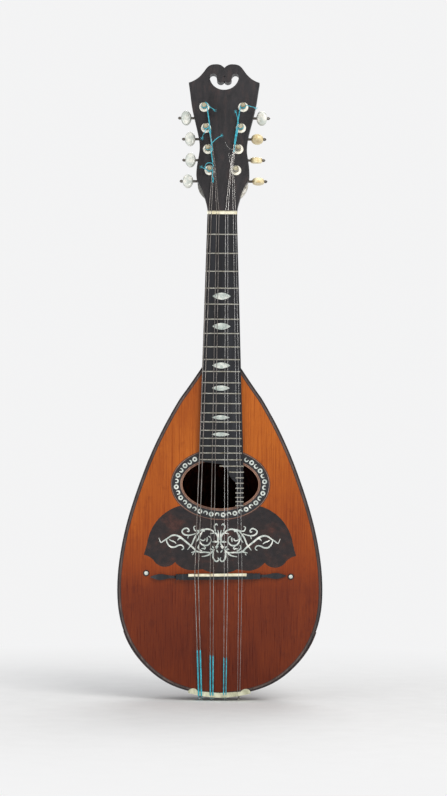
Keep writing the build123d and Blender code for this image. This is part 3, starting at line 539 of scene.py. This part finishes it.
def rosette():
    low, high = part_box("rosette")
    centre = ((low[0] + high[0]) / 2, (low[2] + high[2]) / 2)
    rx, rz = (high[0] - low[0]) / 2 - MASTIC_OUT * MM, (high[2] - low[2]) / 2 - MASTIC_OUT * MM
    for name, start, end, look in ROSETTE_LINES:
        grow = (start + end) / 2 * MM
        shape = inlay(Shape(), ellipse(centre, rx + grow, rz + grow), [(end - start) * MM] * 2, 0.06 * MM, True)
        shape.piece(f"rosette_{name}", "root", "inner_wood" if look == "tan_line" else "black_trim", EXTRA[look], False)
    mid = (ROSETTE_LINES[2][2] + MASTIC_OUT) / 2 * MM
    walk = ellipse(centre, rx + mid, rz + mid, 2000)
    total = sum((Vector(b) - Vector(a)).length for a, b in zip(walk, walk[1:] + walk[:1]))
    pearls, run, number = Shape(), 0.0, 0
    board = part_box("fretboard")
    for a, b in zip(walk, walk[1:] + walk[:1]):
        run += (Vector(b) - Vector(a)).length
        if run < (number + 0.5) * total / PEARL_COUNT:
            continue
        number += 1
        if board[0][0] < a[0] < board[1][0] and a[1] > centre[1] + rz:
            continue
        middle, width = (PEARL_R + PEARL_HOLE) / 2 * MM, (PEARL_R - PEARL_HOLE) * MM
        if number % 2:
            inlay(pearls, ellipse(a, middle, middle, 20), [width] * 2, 0.1 * MM, True)
        else:
            facing = math.atan2(a[1] - centre[1], a[0] - centre[0])
            inlay(pearls, ellipse(a, middle, middle, 16, facing + 0.9, 2 * math.pi - 1.8),
                  [width * 0.5, width, width, width * 0.5], 0.1 * MM)
    pearls.piece("rosette_pearls", "root", "pearl", None, False)


STROKES = [                 # left half of the pickguard's ornament: (x, z) points in mm, widths along it
    ([(-56.4, 147.2), (-55.8, 145.9), (-54.9, 143.6), (-53.9, 143), (-50.9, 145.1), (-47.9, 147), (-44.9, 149.1),
      (-41.5, 149.8), (-37.7, 148.7), (-34.3, 146.4), (-30.9, 143.6), (-27, 140.4), (-24, 137.8), (-21.9, 135.5),
      (-18.1, 134.2), (-13.8, 134.2), (-8.3, 134), (-5.3, 135.7)], (0.4, 1.2, 1.7, 1.4, 1.2)),
    ([(-49.2, 145.5), (-48.7, 143), (-47, 140.4), (-44.5, 138.7), (-41.1, 138.9), (-38.5, 140.2), (-35.5, 140.6),
      (-33.6, 139.1), (-33.4, 137.4), (-35.1, 136.3)], (1.0, 1.5, 1.2, 0.8)),
    ([(-46.6, 145.9), (-44.9, 144.7), (-41.9, 143.6), (-40.2, 142.1)], (0.7, 1.3, 0.5)),
    ([(-39, 145.1), (-37.2, 147), (-35.1, 146.8)], (0.5, 1.4, 0.6)),
    ([(-21.9, 151.5), (-25.3, 150.4), (-28.7, 149.8), (-32.1, 150.2), (-34.3, 151.9), (-34.7, 154), (-33, 155.7),
      (-30.4, 156.4), (-28.5, 154.9), (-28.7, 153.2), (-30.2, 153.6)], (0.8, 1.4, 1.3, 0.9)),
    ([(-28.7, 149.8), (-29.6, 146.8)], (1.1, 0.5)),
    ([(-29.6, 136.3), (-27.5, 139.1), (-25.3, 142.1), (-24, 145.5), (-22.8, 148.1), (-21.1, 150.6), (-19.4, 152.7),
      (-17.7, 154.5)], (0.6, 1.3, 1.4, 1.0)),
    ([(-21.9, 143.4), (-19.8, 146.4), (-18.5, 149.8), (-16, 153.2)], (0.6, 1.2, 0.9)),
    ([(-22.3, 158.5), (-24, 157.4), (-23.4, 155.3), (-22.3, 154), (-18.9, 154.2), (-15.5, 154.9), (-11.3, 155.7),
      (-7.9, 154.9), (-5.3, 153.2), (-2.3, 149.8), (-1, 145.5)], (0.7, 1.2, 1.6, 1.3, 1.0)),
    ([(-16.6, 154.5), (-13.6, 154.5)], (2.6, 2.6)),
    ([(-10.4, 149.3), (-8.3, 147.6), (-7.9, 144.7), (-9.6, 141.7), (-12.5, 140.4), (-16, 141.2), (-18.1, 143.8),
      (-18.7, 146.4), (-17.7, 149.8), (-16.4, 152.3)], (0.8, 1.3, 1.3, 1.0)),
    ([(-11.7, 148.1), (-11.3, 146.4), (-11.9, 143.8)], (0.6, 1.5, 0.5)),
    ([(-18.1, 146.4), (-16, 145.1), (-13.8, 145.5), (-13.4, 147.2)], (0.8, 1.2, 0.6)),
    ([(-18.9, 141.2), (-19.8, 138.7), (-18.5, 136.6), (-16, 135.3)], (0.8, 1.2, 0.9)),
    ([(-16.8, 137.4), (-15.1, 137.7), (-13.4, 137.4)], (0.5, 1.2, 0.5)),
    ([(-14.7, 140), (-13, 138.3), (-14.2, 136.6)], (0.5, 1.1, 0.5)),
    ([(-16.4, 130.2), (-12.5, 130.8), (-9.1, 132.3), (-6.6, 134.9), (-4.5, 137)], (0.6, 1.5, 1.2)),
    ([(-5.3, 135.3), (-5.9, 132.7), (-5.7, 129.3), (-4, 126.3), (-1.9, 125.9), (-0.6, 127.6), (-1.5, 129.3)],
     (0.8, 1.4, 1.3, 0.8)),
    ([(-9.1, 137), (-7.6, 137.1), (-6.2, 136.6)], (0.4, 1.5, 0.5)),
    ([(-6.6, 140), (-5.9, 138.8), (-5.3, 137.8)], (0.4, 1.5, 0.5)),
    ([(-1, 134), (-2, 135.2), (-2.7, 136.6)], (0.4, 1.5, 0.5)),
    ([(-1, 140), (-2.2, 138.8), (-3.2, 137.4)], (0.4, 1.5, 0.5)),
    ([(-1.5, 154.9), (-1, 151.5), (-0.6, 145.5)], (0.6, 1.2, 0.8)),
    ([(-1.9, 159.2), (-3.1, 160.5), (-4.8, 158.7), (-4.3, 155.5), (-3.5, 153.5)], (0.8, 1.3, 1.2, 0.7)),
    ([(-8.9, 151.2), (-6.4, 151.9), (-3.2, 151.9), (-1.6, 148.9), (-1.5, 145.5), (-1, 143), (-2.3, 140.4),
      (-4, 138.7)], (0.6, 1.3, 1.5, 1.0)),
    ([(-6.6, 143.8), (-4, 144), (-1.5, 143.8)], (0.4, 2.0, 0.8)),
    ([(-26.2, 133.8), (-23.2, 134.4), (-20.2, 134.9)], (0.5, 1.3, 0.7)),
    ([(-24.9, 131.5), (-24, 133.2)], (0.5, 1.0)),
]
ORNAMENT_SHIFT = -0.5       # its middle line lies this far to the bass side


def ornament():
    for number, (points, widths) in enumerate(STROKES):
        shape = Shape()
        for side in (1, -1):
            line = curve([((side * x + ORNAMENT_SHIFT) * MM, z * MM) for x, z in points], 4)
            inlay(shape, line, [w * MM for w in widths], (0.08 + 0.004 * (number % 5)) * MM)
        shape.piece(f"ornament_{number + 1}", "root", "pearl", None, False)


def stud_pearls():
    low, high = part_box("bridge_studs")
    reach = 2.8 * MM
    shape = Shape()
    for x, z in ((low[0] + reach, high[2] - reach), (high[0] - reach, low[2] + reach)):
        face = top_y(z) - 1.5 * MM
        rings = [[(x + r * math.cos(a), face - up, z + r * math.sin(a)) for a in (math.pi * k / 12 for k in range(24))]
                 for r, up in ((1.9 * MM, -0.6 * MM), (1.85 * MM, 0.1 * MM), (1.3 * MM, 0.4 * MM), (0.3 * MM, 0.52 * MM))]
        shape.strip(rings)
    shape.piece("bridge_stud_pearls", "root", "pearl")


def rib_seams():
    """Thin dark lines where the ribs of the bowl meet."""
    mesh = NODES["bowl_ribs"].data
    tree = BVHTree.FromPolygons([v.co for v in mesh.vertices], [p.vertices for p in mesh.polygons])
    count, stations = 15, 56
    lines = [[] for _ in range(count - 1)]
    for step in range(stations):
        z = (2 + 302 * step / (stations - 1)) * MM
        back = top_y(z) + 2.6 * MM
        side = tree.ray_cast(Vector((0.4, back + 0.3 * MM, z)), Vector((-1, 0, 0)))[0]
        rear = tree.ray_cast(Vector((0, 0.5, z)), Vector((0, -1, 0)))[0]
        if not side or not rear:
            continue
        deep = (rear.y - back) / math.sin(math.pi * (count // 2) / count)
        for k in range(1, count):
            a = math.pi * k / count
            lines[k - 1].append(Vector((side.x * math.cos(a), back + deep * math.sin(a), z)))
    shape = Shape()
    for line in lines:
        tube(shape, line, 0.28 * MM, 6)
    shape.piece("rib_seams", "root", "rosewood", EXTRA["dark_line"])


# ---- strings: silk at the tail, windings and loose ends at the posts ---------------------
TAIL_SILK = [("strings_g", 42.7, 0.75), ("strings_d", 38.0, 0.65), ("strings_a", 36.0, 0.5)]


def tail_silk():
    for node, top, radius in TAIL_SILK:
        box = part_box(node)
        edge = box[0][2] / MM
        for number, start in enumerate(slice_centres(node, 2, top * MM)):
            heights = [top + (edge + 3.4 - top) * k / 8 for k in range(9)]
            line = wire_line(node, start.x, 2, [z * MM for z in heights])
            depths = [line[-1].y / MM + 3.0 + (box[1][1] / MM - 2.0 - line[-1].y / MM - 3.0) * k / 5 for k in range(6)]
            line += wire_line(node, line[-1].x, 1, [y * MM for y in depths])
            shape = tube(Shape(), curve(line, 5), lambda t, r=radius * MM: r * (0.86 + 0.14 * min(1, t * 12)), 10)
            shape.piece(f"silk_{node[-1]}_{number + 1}", "root", "silk")


SILK_POSTS = {"d2": 58, "d1": 59, "g2": 46, "g1": 27, "a1": 57, "a2": 60}      # where the silk ends on the head
NODE_OF = {"d": "strings_d", "g": "strings_g", "a": "strings_a", "e": "strings_e"}


def head_silk():
    for name, low in SILK_POSTS.items():
        post = Post(name)
        node = NODE_OF[name[0]]
        side = 1 if post.foot.x > 0 else -1
        top = post.foot.z + 0.4 * MM
        bottom = top - (rows_along(post) - low) * MM * 0.966
        heights = [top + (bottom - top) * k / 14 for k in range(15)]
        line = wire_line(node, post.foot.x - side * 2.6 * MM, 2, heights)
        shape = tube(Shape(), curve(line, 3), lambda t: (0.56 - 0.08 * t) * MM, 9)
        shape.piece(f"silk_head_{name}", "root", "silk")


def rows_along(post):
    """How far up the head a post stands, in mm from the nut."""
    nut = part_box("nut")[1][2]
    return (post.foot.z - nut) / MM / 0.966


WINDING_AT = {"g2": (4.8, 5.8)}      # heights of a winding that has to clear the string passing its post


def windings():
    for name in ("d2", "d1", "g2", "g1", "a1", "a2", "e1", "e2"):
        post = Post(name)
        silk_wound = name in SILK_POSTS
        thick = 0.33 if silk_wound else 0.16
        turns = 3 if silk_wound else 8
        steps = turns * 20
        low, high = WINDING_AT.get(name, (3.2, 5.75))
        line = []
        for k in range(steps + 1):
            a = 2 * math.pi * k / 20
            r = 2.05 + thick + 0.03 * math.sin(a * 0.37)
            line.append(post.at(r * math.cos(a), r * math.sin(a), low + (high - low) * k / steps))
        slot = "silk" if silk_wound else "plain_string"
        tube(Shape(), line, thick * MM, 7).piece(f"winding_{name}", post.body, slot)


LOOSE = {                   # free end of each string: (across, up, out) from its post in mm, and its radius
    "d2": ([(0.4, 2.0, 5.8), (1.8, 1.6, 8.0), (5.6, -3.0, 8.7), (8.2, -4.8, 8.9), (10.2, -6.4, 8.7)], 0.42),
    "d1": ([(0.4, -2.0, 5.4), (0.4, -3.6, 7.9), (-0.8, -7.0, 8.7), (-2.4, -10.0, 8.7), (-3.2, -13.2, 8.6)], 0.42),
    "g2": ([(1.9, 0.8, 5.4), (3.3, 2.6, 7.9), (6.6, 6.0, 8.8), (9.6, 8.6, 8.9), (13.0, 10.6, 8.8)], 0.42),
    "g1": ([(1.9, 0.6, 5.4), (3.6, 2.0, 7.9), (1.8, 4.2, 8.6), (-2.2, 4.0, 8.8), (-4.0, 0.6, 8.9),
            (-3.0, -2.2, 8.8), (-0.8, -3.2, 8.7), (-3.6, -2.0, 9.4), (-7.6, 0.2, 8.9)], 0.42),
    "a1": ([(1.9, -0.4, 5.4), (3.4, -1.0, 7.9), (6.6, -2.2, 8.7), (9.6, -3.0, 8.8), (12.4, -4.2, 8.6)], 0.4),
    "a2": ([(-1.4, 1.4, 5.4), (-2.4, 3.0, 7.9), (-3.2, 7.2, 8.8), (-4.0, 10.4, 8.9), (-5.0, 13.4, 8.9)], 0.4),
    "e1": ([(-1.9, -0.4, 5.4), (-3.2, -1.2, 7.9), (-5.4, -3.0, 8.6), (-8.2, -2.0, 8.6), (-10.6, 1.0, 8.7),
            (-12.2, 4.4, 8.8)], 0.15),
    "e2": ([(-1.8, 0.8, 5.4), (-3.2, 1.8, 7.9), (-5.6, 5.0, 8.6), (-5.8, 9.6, 8.6), (-4.2, 12.6, 8.6),
            (-3.2, 10.4, 8.7), (-5.0, 8.0, 8.9), (-6.6, 11.0, 8.8), (-6.2, 14.6, 8.7)], 0.15),
}


def loose_ends():
    for name, (points, radius) in LOOSE.items():
        post = Post(name)
        line = curve([post.at(*p) for p in points], 8)
        slot = "silk" if name in SILK_POSTS else "plain_string"
        shape = tube(Shape(), line, lambda t, r=radius * MM: r * (1 - 0.25 * t), 8)
        if name in SILK_POSTS:
            u, v, n = points[-1]
            for k in range(6):
                a = 2 * math.pi * (k + random.random() * 0.6) / 6
                tip = (u + 1.7 * math.cos(a), v + 1.7 * math.sin(a), n + random.uniform(-0.2, 0.7))
                mid = (u + 0.9 * math.cos(a + 0.5), v + 0.9 * math.sin(a + 0.5), n + 0.25)
                tube(shape, curve([post.at(u, v, n), post.at(*mid), post.at(*tip)], 4), 0.12 * MM, 5)
        shape.piece(f"loose_end_{name}", post.body, slot)


edge_lines()
rosette()
ornament()
stud_pearls()
rib_seams()
tail_silk()
head_silk()
windings()
loose_ends()


# ---- stage: floor, light, camera ----------------------------------------------------
BACK = 0.90


def make_stage():
    low = CAD_BOX[0].z
    disc = Shape()
    rings = [[(r * math.cos(a), r * math.sin(a), low) for a in (2 * math.pi * k / 96 for k in range(96))]
             for r in (0.001, 0.3, 0.7, 1.5, 3.0, 9.0)]
    disc.strip(rings, ends=False)
    mesh = bpy.data.meshes.new("floor")
    mesh.from_pydata(disc.points, [], disc.faces)
    floor = bpy.data.objects.new("floor", mesh)
    bpy.context.scene.collection.objects.link(floor)
    f = Finish("floor_paper", rough=0.9, spec=0.1)
    dust = f.noise(40, 3)
    f.colour(f.ramp(dust, (0.3, 0.80), (0.7, 0.84))).bump(dust, 0.0002, 0.2)
    away = f.node("ShaderNodeVectorMath", operation="LENGTH")
    f.link(f.place, away.inputs[0])
    fade = f.span(away.outputs["Value"], 0.06, 0.7)
    glow = f.node("ShaderNodeEmission")
    glow.inputs["Color"].default_value = (BACK, BACK, BACK * 1.005, 1)
    blend = f.node("ShaderNodeMixShader")
    f.link(fade, blend.inputs[0])
    f.link(f.shader.outputs[0], blend.inputs[1])
    f.link(glow.outputs[0], blend.inputs[2])
    f.link(blend.outputs[0], f.tree.nodes["Material Output"].inputs["Surface"])
    mesh.materials.append(f.material)

    world = bpy.data.worlds.new("pale")
    bpy.context.scene.world = world
    world.use_nodes = True
    tree = world.node_tree
    seen, lit = tree.nodes["Background"], tree.nodes.new("ShaderNodeBackground")
    seen.inputs["Color"].default_value = (BACK, BACK, BACK * 1.005, 1)
    lit.inputs["Color"].default_value = (0.97, 0.985, 1.0, 1)
    lit.inputs["Strength"].default_value = 0.42
    path, pick = tree.nodes.new("ShaderNodeLightPath"), tree.nodes.new("ShaderNodeMixShader")
    tree.links.new(path.outputs["Is Camera Ray"], pick.inputs[0])
    tree.links.new(lit.outputs[0], pick.inputs[1])
    tree.links.new(seen.outputs[0], pick.inputs[2])
    tree.links.new(pick.outputs[0], tree.nodes["World Output"].inputs["Surface"])


def area_light(name, at, aim, size, power, tint=(1, 1, 1)):
    data = bpy.data.lights.new(name, "AREA")
    data.shape, data.size, data.size_y, data.energy, data.color = "RECTANGLE", size[0], size[1], power, tint
    lamp = bpy.data.objects.new(name, data)
    bpy.context.scene.collection.objects.link(lamp)
    lamp.location = at
    lamp.rotation_mode = "QUATERNION"
    lamp.rotation_quaternion = (Vector(aim) - Vector(at)).to_track_quat("-Z", "Y")
    return lamp


CAMERA_AWAY = 3.0           # metres from the object
CAMERA_AZIMUTH = 1.6        # degrees towards the treble side
CAMERA_ROLL = 0.4
CAMERA_DROP = 0.0154        # it aims this far below the middle of the object
VIEW_TALL = 0.7384          # what the picture's height covers at the object


def make_camera():
    low, high = CAD_BOX
    aim = Vector((0.0023, 0.0, (low.z + high.z) / 2 - CAMERA_DROP))
    turn = math.radians(CAMERA_AZIMUTH)
    data = bpy.data.cameras.new("view")
    data.sensor_fit = "AUTO"
    data.sensor_width = 36.0
    data.lens = 36.0 * CAMERA_AWAY / VIEW_TALL
    camera = bpy.data.objects.new("view", data)
    bpy.context.scene.collection.objects.link(camera)
    away = Vector((math.sin(turn), -math.cos(turn), 0))
    camera.location = aim + CAMERA_AWAY * away
    camera.rotation_mode = "QUATERNION"
    level_view = (-away).to_track_quat("-Z", "Y")
    camera.rotation_quaternion = level_view @ Quaternion((0, 0, 1), math.radians(CAMERA_ROLL))
    bpy.context.scene.camera = camera


make_stage()
middle = (0, 0, 0.28)
area_light("key", (1.25, -2.1, 1.55), middle, (1.6, 1.6), 56, (1.0, 0.98, 0.95))
area_light("fill", (-1.8, -2.2, 0.7), middle, (1.6, 1.6), 26, (0.95, 0.98, 1.0))
area_light("rim", (0.3, 1.8, 1.7), middle, (1.4, 0.8), 20, (1.0, 1.0, 1.0))
make_camera()
bpy.context.scene.view_settings.view_transform = "Standard"
